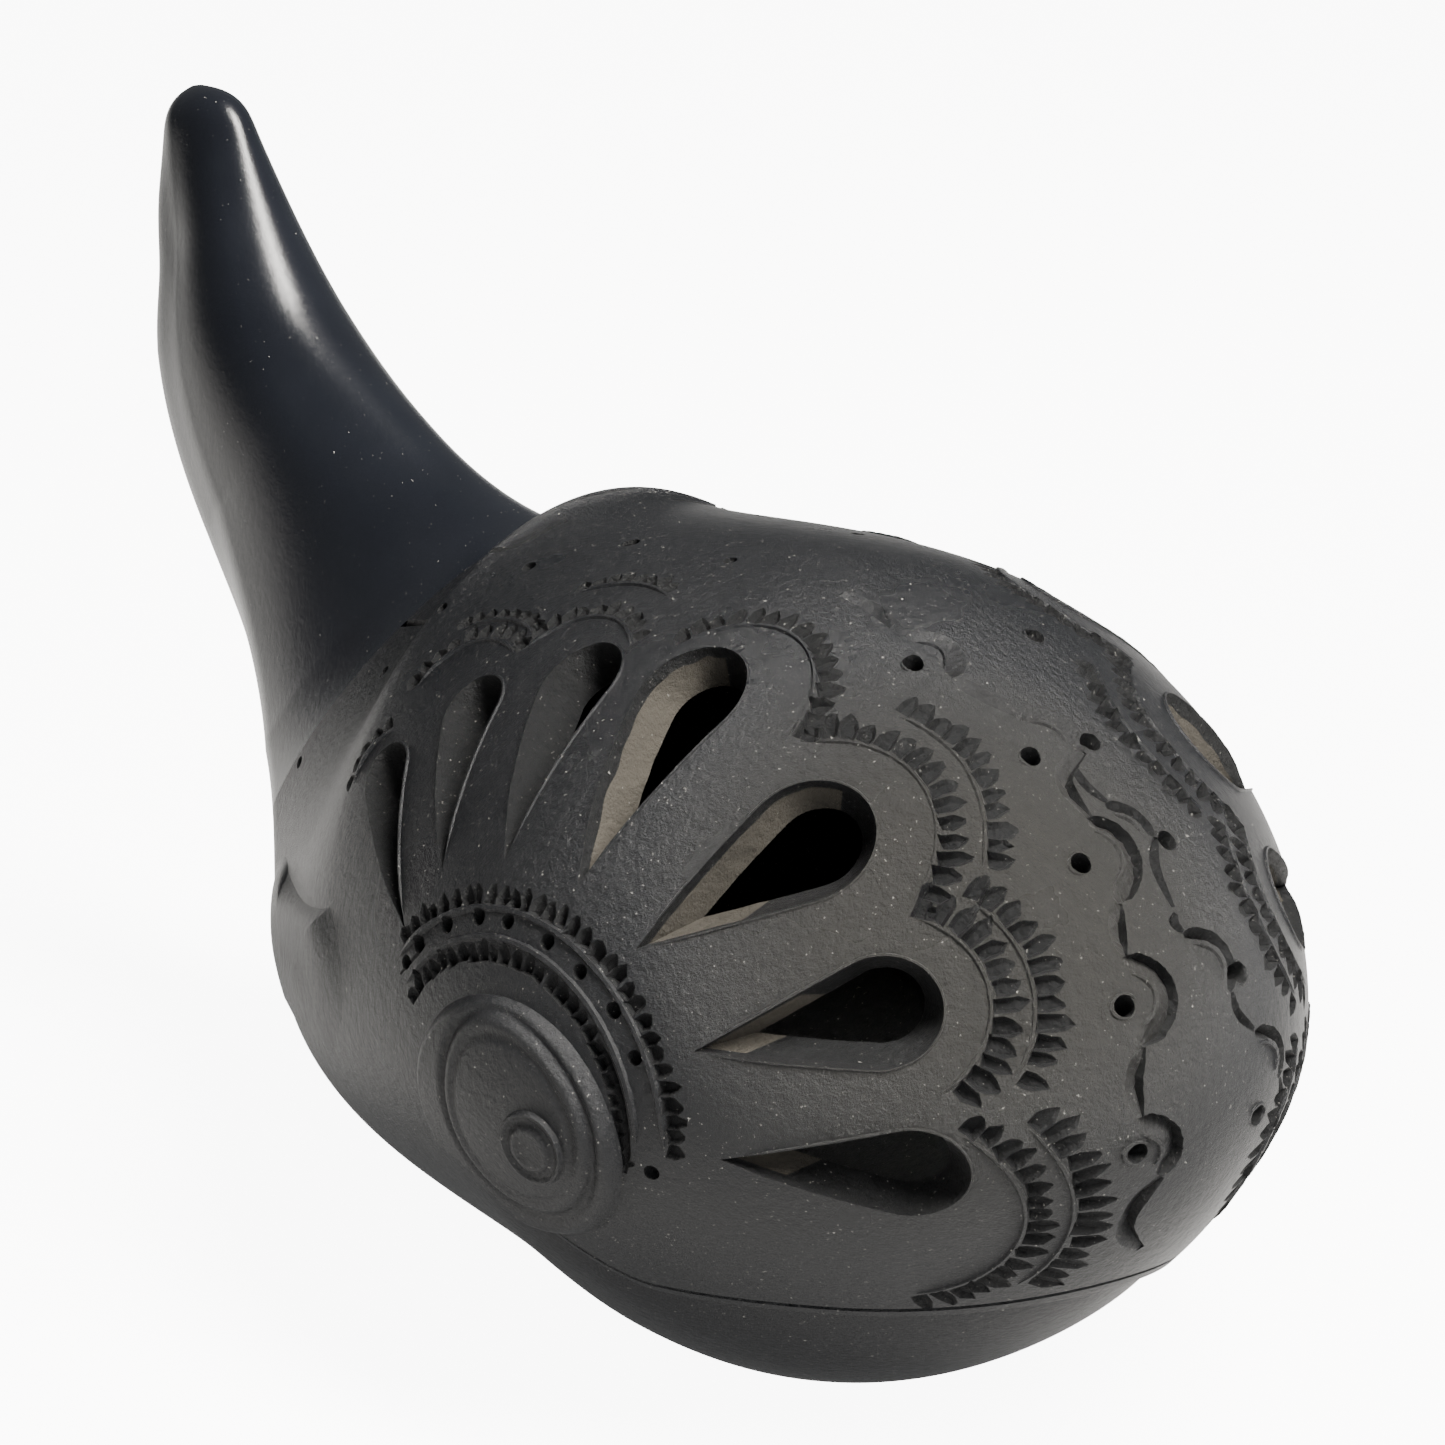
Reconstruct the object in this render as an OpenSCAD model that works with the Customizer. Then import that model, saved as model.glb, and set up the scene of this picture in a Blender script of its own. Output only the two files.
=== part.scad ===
// Hollow black-clay whale lantern, built from separately made clay pieces luted together.
// Frame: +X points out of the nose, +Y to the whale's left, +Z up; z = 0 is the resting plane and
// the origin is at the middle of the whole whale's footprint.

/* [Body] */
// Width of the body across the cheeks
body_w = 100; // [90:1:110]
// Thickness of the clay wall
wall = 4.5; // [4:0.1:5]
// Diameter of the round opening in the base
base_opening_d = 30; // [20:1:30]

/* [Seam between the shells] */
// Height of the seam along the mouth
mouth_z = 17; // [15:0.5:19]
// How much higher the seam runs behind the eye
seam_rise = 13; // [11:0.5:14]
// Height of the tongue that keeps the upper shell in place
tongue_h = 3; // [2:0.5:4]
// Gap left for slip between two luted faces
slip_gap = 0.2; // [0.1:0.05:0.3]

/* [Pierced work] */
// Share of each petal window's drawn width that is cut away
petal_open = 1; // [0.8:0.05:1]
// Diameter of the pierced dots on the forehead
dot_d = 2.2; // [1.6:0.1:3]

/* [Applied pads] */
// How far the flippers stand proud of the body
flipper_t = 2.5; // [2:0.1:3.5]
// How far the eye mounds stand proud of the body
mound_t = 2; // [1.5:0.1:2.5]
// How far the pupils stand proud of the eye mounds
pupil_t = 1.2; // [0.8:0.1:1.6]

/* [Hidden] */

// Every length below is for a body 100 wide and is multiplied by k. The modules place things from
// the widest place of the body, and `placed` moves them to the origin.
k = body_w / 100;
ORIGIN_X = 33.86;
SEGMENTS = 42;          // points round each cross-section
NOSE_RINGS = 9;         // cross-sections ahead of the widest place
RING_STEP = 0.25;       // spacing of the cross-sections behind it, in stations
NOSE_LENGTH = 56.5;
NOSE_FULLNESS = 0.066;  // how far the nose profile pulls in from an ellipse
TOP_FULLNESS = 0.03;    // the same for the upper and lower halves of a cross-section
BELLY_FULLNESS = 0.07;

// Control values of the body at seven stations, from the widest place to the tail's end.
SPINE_X = [0, -30, -55, -76, -95, -112, -118];
SPINE_Z = [41, 31.5, 33.5, 45.5, 62.5, 82.5, 108.5];
HALF_WIDTH = [50, 46, 34, 17, 13, 13.5, 5];
ABOVE_SPINE = [43.5, 51, 48, 36, 26, 17.5, 9];
BELOW_SPINE = [45.5, 34.5, 23, 14.5, 13, 14, 6];
LAST_STATION = 6;
TAIL_STATION = 2.75;    // where the tail is luted to the body
SPIGOT_STATION = 2.5;   // how far the tail's spigot reaches into the body
TIP_ROUNDING = 5.5;     // length of the rounded end of the tail

// Seam profile in side view.
SEAM_RISE_START_X = 16;
SEAM_RISE_LENGTH = 18;
SMILE_START_X = 31;
SMILE_CURVE = 0.012;
TONGUE_W = 2;
TONGUE_ROOT = 4;
TONGUE_REAR_X = -48;

// The windows fan out round the eye. They are drawn on a chart in degrees, seen from CENTRE,
// with the eye at its origin: [angle of tip, distance of tip, angle of end, distance of end, half width].
CENTRE = [0, 0, 41];
EYE = [7.5, -48.5, 36];
PETALS = [[141, 27, 143, 55, 4.2], [125, 31, 126, 60, 5.2], [104, 30.5, 106, 64, 7],
          [80, 30, 85, 67, 8.6], [57, 28.5, 50, 61, 8.6], [28, 28, 22, 56.5, 7], [0, 28, -2, 55.5, 6.2]];
// Pierced dots on the same chart: [angle, distance].
DOTS = [[64, 81], [43, 83], [29, 78.5], [14, 74], [-1, 71]];
CUT_FROM = 14;          // a window is cut along rays from CENTRE between these two distances
CUT_TO = 90;

PUPIL_X = 12;
PUPIL_Z = 35.4;
PUPIL_R = 4.2;
MOUND_R = 13;
FLIPPER_FRONT = [-32, 33, 15.5];   // x, z and radius of the flipper's broad front end
FLIPPER_REAR = [-58, 33, 8.5];     // and of its narrow rear end

CLAY = [0.13, 0.13, 0.14];
POLISHED = [0.07, 0.075, 0.085];
FAR = 200;

// ---- Smooth curves through the control values ----
function ends(p, first) = concat(first, [for (i = [1:LAST_STATION]) p[i]], [2 * p[LAST_STATION] - p[LAST_STATION - 1]]);
function even(p) = ends(p, [p[1], (6 * p[0] - 2 * p[1]) / 4]);
function odd(p) = ends(p, [-p[1], 0]);
function span(t) = min(floor(t), LAST_STATION - 1);
function spline(q, t) =
    let (i = span(t), u = t - i)
    ((1 - u) ^ 3 * q[i] + (3 * u ^ 3 - 6 * u ^ 2 + 4) * q[i + 1]
        + (-3 * u ^ 3 + 3 * u ^ 2 + 3 * u + 1) * q[i + 2] + u ^ 3 * q[i + 3]) / 6;
function slope(q, t) =
    let (i = span(t), u = t - i)
    (-(1 - u) ^ 2 * q[i] + (3 * u ^ 2 - 4 * u) * q[i + 1]
        + (-3 * u ^ 2 + 2 * u + 1) * q[i + 2] + u ^ 2 * q[i + 3]) / 2;

// ---- Cross-sections ----
function pull_in(angle, fullness) = 1 - fullness * sin(2 * angle) ^ 2;
function side_fullness(a) = sin(a) > 0 ? TOP_FULLNESS : BELLY_FULLNESS;
// Half width and signed height of a section's point at angle a.
function section_point(a, half_width, above, below) =
    let (m = pull_in(a, side_fullness(a)))
    [half_width * cos(a) * m, (sin(a) > 0 ? above : below) * sin(a) * m];

function nose_ring(a, inset) =
    let (m = pull_in(a, NOSE_FULLNESS), r = sin(a) * m, x = (k * NOSE_LENGTH - inset) * cos(a) * m)
    [for (i = [0:SEGMENTS - 1])
        let (p = section_point(360 * i / SEGMENTS, (k * HALF_WIDTH[0] - inset) * r,
                               (k * ABOVE_SPINE[0] - inset) * r, (k * BELOW_SPINE[0] - inset) * r))
        [x, p[0], p[1] + k * SPINE_Z[0]]];

function spine_point(t) = [k * spline(odd(SPINE_X), t), 0, k * spline(even(SPINE_Z), t)];
function spine_direction(t) =
    let (d = [slope(odd(SPINE_X), t), 0, slope(even(SPINE_Z), t)]) d / norm(d);
function body_ring(t, inset, shrink = 1, advance = 0) =
    let (c = spine_point(t), d = spine_direction(t), up = [d[2], 0, -d[0]],
         half_width = (k * spline(even(HALF_WIDTH), t) - inset) * shrink,
         above = (k * spline(even(ABOVE_SPINE), t) - inset) * shrink,
         below = (k * spline(even(BELOW_SPINE), t) - inset) * shrink)
    [for (i = [0:SEGMENTS - 1])
        let (p = section_point(360 * i / SEGMENTS, half_width, above, below))
        c + d * advance + up * p[1] + [0, p[0], 0]];

// ---- Closed solids from rings ----
function flatten(list) = [for (part = list) each part];
module skin(rings, first, last) {
    n = len(rings);
    points = concat([first], flatten(rings), [last]);
    at = function (r, i) 1 + r * SEGMENTS + i % SEGMENTS;
    faces = concat(
        [for (i = [0:SEGMENTS - 1]) [0, at(0, i + 1), at(0, i)]],
        [for (r = [0:n - 2]) for (i = [0:SEGMENTS - 1]) each
            [[at(r, i), at(r + 1, i + 1), at(r + 1, i)], [at(r, i), at(r, i + 1), at(r + 1, i + 1)]]],
        [for (i = [0:SEGMENTS - 1]) [at(n - 1, i), at(n - 1, i + 1), len(points) - 1]]);
    polyhedron(points, faces, convexity = 6);
}

function stations(from, to) = [for (t = [from:RING_STEP:to + RING_STEP / 10]) t];

// The body from the nose back to station `to`, its surface moved inward by `inset`.
module body_solid(inset, to = TAIL_STATION) {
    rings = concat([for (j = [1:NOSE_RINGS]) nose_ring(90 * j / (NOSE_RINGS + 1), inset)],
                   [for (t = stations(0, to)) body_ring(t, inset)]);
    skin(rings, [k * NOSE_LENGTH - inset, 0, k * SPINE_Z[0]], spine_point(to));
}

// The tail from its root to its rounded tip, on a spigot that reaches into the hollow body.
module tail_solid() {
    spigot = [for (t = stations(SPIGOT_STATION, TAIL_STATION)) body_ring(t, wall + slip_gap)];
    outside = [for (t = stations(TAIL_STATION, LAST_STATION)) body_ring(t, 0)];
    tip = [for (a = [20:20:80]) body_ring(LAST_STATION, 0, cos(a), k * TIP_ROUNDING * sin(a))];
    skin(concat(spigot, outside, tip), spine_point(SPIGOT_STATION),
         spine_point(LAST_STATION) + k * TIP_ROUNDING * spine_direction(LAST_STATION));
}

// Joins a sub-part's booleans into one mesh.
module one_mesh() {
    resize([0, 0, 0]) children();
}

// ---- Seam ----
function smooth_step(u) = let (c = max(0, min(1, u))) c * c * (3 - 2 * c);
function seam_z(x) = mouth_z + seam_rise * smooth_step((SEAM_RISE_START_X - x) / SEAM_RISE_LENGTH)
    + SMILE_CURVE * max(0, x - SMILE_START_X) ^ 2;

// Everything under the seam, raised by `lift`.
module under_seam(lift = 0) {
    rotate([90, 0, 0])
        linear_extrude(height = FAR, center = true)
            polygon(concat([[k * 70, -FAR]], [for (x = [70:-2:-100]) [k * x, k * seam_z(x) + lift]], [[k * -100, -FAR]]));
}

module above_plane(z) {
    translate([-FAR, -FAR, z]) cube([2 * FAR, 2 * FAR, FAR]);
}

module cavity() {
    intersection() {
        body_solid(wall, TAIL_STATION + RING_STEP);
        above_plane(wall);
    }
}

// ---- Windows and dots ----
axis_out = (EYE - CENTRE) / norm(EYE - CENTRE);
toward_nose = let (v = [1, 0, 0] - axis_out * axis_out[0]) v / norm(v);
toward_top = cross(toward_nose, axis_out) * -1;

function ray(p) =
    let (far_angle = norm(p), v = far_angle > 0 ? p / far_angle : [1, 0])
    axis_out * cos(far_angle) + (toward_nose * v[0] + toward_top * v[1]) * sin(far_angle);
function on_chart(angle, distance) = distance * [cos(angle), sin(angle)];

// Teardrop with a pointed tip and a round end.
function teardrop(tip, far_end, half_width) =
    let (along = far_end - tip, length = norm(along), heading = atan2(along[1], along[0]),
         centre = tip + along * (length - half_width) / length,
         turn = 90 + asin(half_width / (length - half_width)))
    concat([tip], [for (j = [0:12]) centre + half_width * [cos(heading - turn + j * turn / 6),
                                                            sin(heading - turn + j * turn / 6)]]);

// Cuts an outline drawn on the chart through the wall, along rays from CENTRE.
module chart_cut(outline) {
    n = len(outline);
    points = concat([for (p = outline) k * (CENTRE + CUT_FROM * ray(p))],
                    [for (p = outline) k * (CENTRE + CUT_TO * ray(p))]);
    faces = concat([[for (i = [0:n - 1]) i]], [[for (i = [n - 1:-1:0]) n + i]],
                   [for (i = [0:n - 1]) let (j = (i + 1) % n) [j, i, n + i, n + j]]);
    polyhedron(points, faces, convexity = 2);
}

module windows() {
    for (p = PETALS)
        chart_cut(teardrop(on_chart(p[0], p[1]), on_chart(p[2], p[3]), p[4] * petal_open));
    for (d = DOTS) {
        r = dot_d / 2 / k;  // degrees on the chart are close to millimetres on the forehead
        chart_cut([for (a = [0:45:315]) on_chart(d[0], d[1]) + r * [cos(a), sin(a)]]);
    }
}

module on_both_sides() {
    children();
    mirror([0, 1, 0]) children();
}

// ---- Sub-parts ----
module upper_shell() {
    color(CLAY) one_mesh() difference() {
        body_solid(0);
        cavity();
        under_seam();
        on_both_sides() windows();
    }
}

module lower_shell() {
    color(POLISHED) one_mesh() union() {
        difference() {
            intersection() {
                body_solid(0);
                under_seam();
                above_plane(0);
            }
            cavity();
            cylinder(h = 4 * wall, r = base_opening_d / 2, center = true, $fn = 64);
        }
        tongue();
    }
}

// Ring standing up from the lower shell inside the upper shell's wall.
module tongue() {
    difference() {
        intersection() {
            union() {
                intersection() {
                    body_solid(wall - 0.5, 2);
                    under_seam();
                }
                intersection() {
                    body_solid(wall + slip_gap, 2);
                    under_seam(tongue_h);
                }
            }
            translate([k * TONGUE_REAR_X, -FAR, 0]) cube([2 * FAR, 2 * FAR, FAR]);
            above_plane(wall);
        }
        body_solid(wall + TONGUE_W, 2.25);
        under_seam(-TONGUE_ROOT);
    }
}

module tail() {
    color(POLISHED) one_mesh() tail_solid();
}

// A pad of thickness `t` over the body's right side, inside the outline drawn by children().
module pad(t, seat = 0) {
    difference() {
        intersection() {
            body_solid(-t - seat);
            rotate([90, 0, 0]) linear_extrude(height = FAR) children();
        }
        body_solid(-seat);
    }
}

module flipper() {
    color(POLISHED) one_mesh() pad(flipper_t) hull()
        for (c = [FLIPPER_FRONT, FLIPPER_REAR]) translate(k * [c[0], c[1]]) circle(r = k * c[2], $fn = 40);
}

module eye_mound() {
    color(CLAY) one_mesh() difference() {
        pad(mound_t) translate(k * [EYE[0], EYE[2]]) circle(r = k * MOUND_R, $fn = 48);
        under_seam();
    }
}

module pupil() {
    color(CLAY) one_mesh()
        pad(pupil_t, mound_t) translate(k * [PUPIL_X, PUPIL_Z]) circle(r = k * PUPIL_R, $fn = 24);
}

module flipper_right() { flipper(); }
module flipper_left() { mirror([0, 1, 0]) flipper(); }
module eye_mound_right() { eye_mound(); }
module eye_mound_left() { mirror([0, 1, 0]) eye_mound(); }
module pupil_right() { pupil(); }
module pupil_left() { mirror([0, 1, 0]) pupil(); }

module placed() {
    translate([k * ORIGIN_X, 0, 0]) children();
}

placed() upper_shell();
placed() lower_shell();
placed() tail();
placed() flipper_right();
placed() flipper_left();
placed() eye_mound_right();
placed() eye_mound_left();
placed() pupil_right();
placed() pupil_left();
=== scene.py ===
"""Black-clay whale lantern: carved and pierced upper shell, burnished jaw, tail and flippers; here only the
tail takes the burnished clay.

The shapes are worked out in "whale millimetres": x from the body's widest place towards the nose,
y to the whale's left, z up from the resting plane. `make_piece` takes them to the CAD frame.
"""

import math
import random

import bpy
import numpy as np
from mathutils import Matrix, Vector, noise
from mathutils.bvhtree import BVHTree


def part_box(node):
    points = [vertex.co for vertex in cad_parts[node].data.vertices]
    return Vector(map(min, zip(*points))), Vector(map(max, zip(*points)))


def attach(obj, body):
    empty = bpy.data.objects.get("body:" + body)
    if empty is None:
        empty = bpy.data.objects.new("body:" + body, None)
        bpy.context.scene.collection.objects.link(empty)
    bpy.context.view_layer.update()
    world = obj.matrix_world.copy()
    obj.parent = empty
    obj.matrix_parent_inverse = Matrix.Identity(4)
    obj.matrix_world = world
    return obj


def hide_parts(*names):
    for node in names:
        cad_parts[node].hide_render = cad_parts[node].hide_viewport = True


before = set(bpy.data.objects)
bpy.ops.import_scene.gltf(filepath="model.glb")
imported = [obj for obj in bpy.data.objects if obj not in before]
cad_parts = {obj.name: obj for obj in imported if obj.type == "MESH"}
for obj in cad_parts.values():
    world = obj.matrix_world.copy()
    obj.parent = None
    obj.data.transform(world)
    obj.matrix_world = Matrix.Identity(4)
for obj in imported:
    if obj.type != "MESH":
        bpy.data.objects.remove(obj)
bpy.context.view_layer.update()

# ---- Body, as in the CAD model ----
NOSE_LENGTH = 56.5
# How far the outline is drawn in between its axes: from the side, and above and below in a cross-section.
NOSE_FULLNESS = 0.066
TOP_FULLNESS = 0.03
BELLY_FULLNESS = 0.07
# Stations from the widest place (0) to the tail's end (6): the spine, and the body's size round it.
SPINE_X = [0, -30, -55, -76, -95, -112, -118]
SPINE_Z = [41, 31.5, 33.5, 45.5, 62.5, 82.5, 108.5]
HALF_WIDTH = [50, 46, 34, 17, 13, 13.5, 5]
ABOVE_SPINE = [43.5, 51, 48, 36, 26, 17.5, 9]
BELOW_SPINE = [45.5, 34.5, 23, 14.5, 13, 14, 6]
LAST_STATION = 6
TAIL_STATION = 2.75         # where the tail starts
SPIGOT_STATION = 2.5        # how far it reaches into the body
TIP_ROUNDING = 5.5
WALL = 4.5
SLIP_GAP = 0.2
BASE_OPENING_R = 15
# The seam: level at the mouth, higher behind x = SEAM_RISE_START, and curling up ahead of SMILE_START.
MOUTH_Z = 17
SEAM_RISE = 13
SEAM_RISE_START = 16
SEAM_RISE_LENGTH = 18
SMILE_START = 31
SMILE_CURVE = 0.012
CENTRE = np.array([0.0, 0.0, 41.0])
EYE = np.array([7.5, -48.5, 36.0])
EYE_MOUND_R = 13.0

# ---- Details of the visual pieces only ----
BROW_SHEEN = (44, -20, 62)        # middle of the forehead's painted sheen, a paler, warmer colour standing in for a highlight
BROW_SHEEN_R = 34
LID = (9.4, 37.2)           # x, z of the middle of the eyelid's leaf shape
LID_SIZE = (8.9, 10.4)
LID_LEAN = 0.22
PUPIL = (12.1, 35.4)
PUPIL_SIZE = (3.6, 4.1)
PUPIL_TILT = -14
MOUND_HEIGHT = 1.55
JAW_TUCK = 1.5              # how far the jaw is drawn in just under the mouth
TAIL_INSET = 0.12           # how far the tail's skin lies inside the CAD tail
TIP_RINGS = 50              # rings at the tail's end that are smoothed together
TIP_PASSES = 14
SHARP_ANGLE = 34            # edges bent by more degrees than this are shaded sharp

SCALE = (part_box("upper_shell")[1].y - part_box("upper_shell")[0].y) / (2 * HALF_WIDTH[0])
ORIGIN_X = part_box("upper_shell")[1].x - SCALE * NOSE_LENGTH

# ---- Mesh fineness ----
AROUND = 300
NOSE_STEPS = 76
STATION_STEP = 0.03
CAVITY_AROUND = 96
CAVITY_NOSE_STEPS = 24
CAVITY_STATION_STEP = 0.1

# ---- Carving, on a chart in degrees seen from CENTRE, with the eye at its origin ----
# Windows: angle and distance of the tip, angle and distance of the round end, half width.
PETALS = [(141, 27, 143, 55, 4.2), (125, 31, 126, 60, 5.2), (104, 30.5, 106, 64, 7), (80, 30, 85, 67, 8.6),
          (57, 28.5, 50, 61, 8.6), (28, 28, 22, 56.5, 7), (0, 28, -2, 55.5, 6.2)]
RAW_REACH = [0.0, 0.0, 0.0, 1.3, 1.3, 0.6, 0.8]     # share of each window's length that shows raw clay
# Rings of a window's cut, from outside in: share of the way to its focus, and depth.
WINDOW_RINGS = [(-0.05, -3), (0, 0), (0.04, 0.26 * WALL), (0.34, WALL + 0.6), (0.36, 26)]
# Borders of notches: centre, then (radius, first angle, last angle, length of the notches) of each row.
BORDERS = [
    ((-40, 29), [(8.4, 200, 78, 2.2)]),
    ((-37, 43), [(11, 190, 62, 2.4), (14.6, 150, 84, 1.8)]),
    ((-20.5, 53), [(13, 172, 52, 2.6), (20.6, 140, 80, 2.2)]),
    ((10, 58), [(15.2, 148, -24, 3.0)]),
    ((33.7, 40.1), [(16.2, 112, -34, 3.3), (22.4, 78, -4, 3.2)]),
    ((45.6, 19.3), [(12.6, 84, -56, 3.6), (17.3, 58, -30, 3.6)]),
    ((45, -9), [(16.4, 52, -80, 3.4), (21.4, 38, -46, 4.4)]),
]
# Dots pierced over the back and forehead, as angle and distance.
DOTS = [(63.7, 80.6), (44, 82.7), (29.7, 78.5), (14.1, 74.6), (-1.4, 72.7)]
DOT_R = 1.1
PITCH = 1.7                 # spacing of the notches
BAND_PITCH = 1.55
# Band round the eye mound: centre and radii on the chart.
BAND_CENTRE = (-1.5, 1.7)
BAND_NOTCHES = [(16.7, 150, -14, 2.2), (23.3, 142, -6, 2.3)]
BAND_RIDGES = [(19.5, 150, -2), (22.9, 148, -2)]
BAND_DOTS_R = 21.5
BAND_DOTS = [146, 137, 122, 107, 94, 76, 60, 43, 27, -12]
BAND_TAIL = [(-20, 12), (-18.5, 13.8), (-17, 15.6), (-16, 17)]
# Scallops of the wave lines: centre, radius, first and last angle. Then the cuts between them.
WAVE_LEAN = 0.72
WAVE_NEAR = [((35.7, 72.3), 7.4, 128, -8), ((59, 58.5), 8.6, 118, 10), ((68.4, 39), 7.8, 84, -56),
             ((72.2, 18.6), 6.2, 84, -74), ((72, -2.4), 5.6, 80, -52)]
WAVE_NEAR_CUTS = [[(14, 84), (22, 82.5), (31, 78)], [(43, 71.2), (47, 69.5), (55, 66)],
                  [(67.5, 60), (65, 54), (69.3, 46.8)], [(72.8, 32.5), (72.4, 29), (72.8, 24.8)],
                  [(73.9, 12.6), (72.6, 8), (73, 3.1)], [(75.4, -6.8), (72.6, -11), (71.6, -16), (73.4, -21)]]
WAVE_FAR = [((72.5, 42.5), 7.2, 96, 8), ((82, 20.6), 6.6, 98, -40), ((89.2, 2.6), 6.8, 84, -40)]
WAVE_FAR_CUTS = [[(66, 57), (68.5, 53), (72, 49.8)], [(79.6, 43), (78.8, 38), (80.4, 31)],
                 [(80.6, 30), (80.2, 28.5), (81.2, 27)], [(87, 16.4), (87.4, 13), (89.8, 9.4)],
                 [(94.4, -1.8), (95, -7), (94.2, -13)]]
TAIL_LINE = [(-63, 68), (-60.5, 60), (-66, 50), (-74, 41), (-80.5, 33), (-83.5, 22), (-84, 13), (-82, 6)]
TAIL_DOTS = [(-53.5, 61.8), (-44.8, 76.3), (-16.6, 84.4), (-57.2, 49), (-66, 40.5), (-74.5, 31),
             (-79.9, 11.1)]

# ---- Small tools for surfaces ----
rng = random.Random(7)


def ease(u):
    return u * u * (3 - 2 * u)


def smooth(value, low, high):
    """0 below low, 1 above high, and a soft step between them."""
    return ease(min(1.0, max(0.0, (value - low) / (high - low))))


def peak(value, middle, width):
    return math.exp(-((value - middle) / width) ** 2)


def ends(values, first):
    return first + list(values[1:]) + [2 * values[-1] - values[-2]]


def even(values):
    """Control values that leave station 0 with no slope, as a mirrored body would."""
    return ends(values, [values[1], (6 * values[0] - 2 * values[1]) / 4])


def odd(values):
    """Control values that pass through zero at station 0."""
    return ends(values, [-values[1], 0])


def spline(q, t):
    """Uniform cubic spline with control values q, at station t."""
    i = min(int(t), LAST_STATION - 1)
    u = t - i
    weights = ((1 - u) ** 3, 3 * u ** 3 - 6 * u ** 2 + 4, -3 * u ** 3 + 3 * u ** 2 + 3 * u + 1, u ** 3)
    return sum(w * q[i + j] for j, w in enumerate(weights)) / 6


def slope(q, t):
    """Slope of the same spline."""
    i = min(int(t), LAST_STATION - 1)
    u = t - i
    weights = (-(1 - u) ** 2, 3 * u ** 2 - 4 * u, -3 * u ** 2 + 2 * u + 1, u ** 2)
    return sum(w * q[i + j] for j, w in enumerate(weights)) / 2


def turn_angles(count):
    return np.arange(count) * 2 * math.pi / count


def section(angles, half_width, above, below):
    """Half width and height of a cross-section at each angle."""
    top = np.sin(angles) > 0
    drawn = 1 - np.where(top, TOP_FULLNESS, BELLY_FULLNESS) * np.sin(2 * angles) ** 2
    return half_width * np.cos(angles) * drawn, np.where(top, above, below) * np.sin(angles) * drawn


def nose_ring(a, inset, angles):
    """Ring round the nose, at angle a from its point, inset from the surface."""
    drawn = 1 - NOSE_FULLNESS * math.sin(2 * a) ** 2
    r = math.sin(a) * drawn
    y, z = section(angles, *((size[0] - inset) * r for size in (HALF_WIDTH, ABOVE_SPINE, BELOW_SPINE)))
    return np.stack([np.full_like(y, (NOSE_LENGTH - inset) * math.cos(a) * drawn), y, z + SPINE_Z[0]], 1)


def spine(t):
    """Point and direction of the spine at station t."""
    along = np.array([slope(odd(SPINE_X), t), 0, slope(even(SPINE_Z), t)])
    place = np.array([spline(odd(SPINE_X), t), 0, spline(even(SPINE_Z), t)])
    return place, along / np.linalg.norm(along)


def body_ring(t, inset, angles, shrink=1.0, advance=0.0):
    """Ring square to the spine at station t, inset from the surface, shrunk and moved on along the spine."""
    place, along = spine(t)
    up = np.array([along[2], 0, -along[0]])
    sizes = [(spline(even(v), t) - inset) * shrink for v in (HALF_WIDTH, ABOVE_SPINE, BELOW_SPINE)]
    y, z = section(angles, *sizes)
    level = np.zeros_like(y)
    return place + advance * along + z[:, None] * up + np.stack([level, y, level], 1)


def closed_mesh(rings, first, last):
    """Points and faces of a closed skin over rings, with a point at each end."""
    count = len(rings[0])
    points = np.vstack([[first], *rings, [last]])
    faces = [(0, 1 + (i + 1) % count, 1 + i) for i in range(count)]
    for r in range(len(rings) - 1):
        low = 1 + r * count
        for i in range(count):
            j = (i + 1) % count
            faces.append((low + i, low + j, low + count + j, low + count + i))
    low = 1 + (len(rings) - 1) * count
    faces += [(low + i, low + (i + 1) % count, len(points) - 1) for i in range(count)]
    return points, faces


def body_mesh(inset, to, around, nose_steps, station_step):
    """Closed skin from the nose to station `to`, inset from the surface."""
    angles = turn_angles(around)
    rings = [nose_ring(math.pi / 2 * j / nose_steps, inset, angles) for j in range(1, nose_steps)]
    steps = max(1, round(to / station_step))
    rings += [body_ring(to * j / steps, inset, angles) for j in range(steps + 1)]
    return closed_mesh(rings, (NOSE_LENGTH - inset, 0, SPINE_Z[0]), spine(to)[0])


def volume(points, faces):
    total = 0.0
    for f in faces:
        a = points[f[0]]
        for i in range(1, len(f) - 1):
            total += np.dot(a, np.cross(points[f[i]], points[f[i + 1]]))
    return total / 6


def outward(points, faces):
    """The faces, turned so that they face outward."""
    return faces if volume(points, faces) > 0 else [tuple(reversed(f)) for f in faces]


# ---- Blender objects in whale millimetres ----
def scratch_object(points, faces, marks=0):
    """Object with the clay slots. marks gives each face's slot: 0 surface, 1 fresh cut and the painted shade
    of the hollow, 2 raw inside.
    """
    mesh = bpy.data.meshes.new("scratch")
    mesh.from_pydata(np.asarray(points).tolist(), [], faces)
    slots = np.broadcast_to(np.asarray(marks, np.int32), len(faces)).copy()
    mesh.polygons.foreach_set("material_index", slots)
    for material in SURFACES:
        mesh.materials.append(material)
    obj = bpy.data.objects.new("scratch", mesh)
    bpy.context.scene.collection.objects.link(obj)
    return obj


def combine(obj, other, operation):
    """Boolean of obj with other, which is used up."""
    modifier = obj.modifiers.new("combine", "BOOLEAN")
    modifier.operation = operation
    modifier.solver = "MANIFOLD"
    modifier.object = other
    graph = bpy.context.evaluated_depsgraph_get()
    mesh = bpy.data.meshes.new_from_object(obj.evaluated_get(graph))
    if not len(mesh.polygons):
        raise RuntimeError("a boolean gave nothing")
    obj.modifiers.clear()
    obj.data = mesh
    bpy.data.objects.remove(other)


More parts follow.
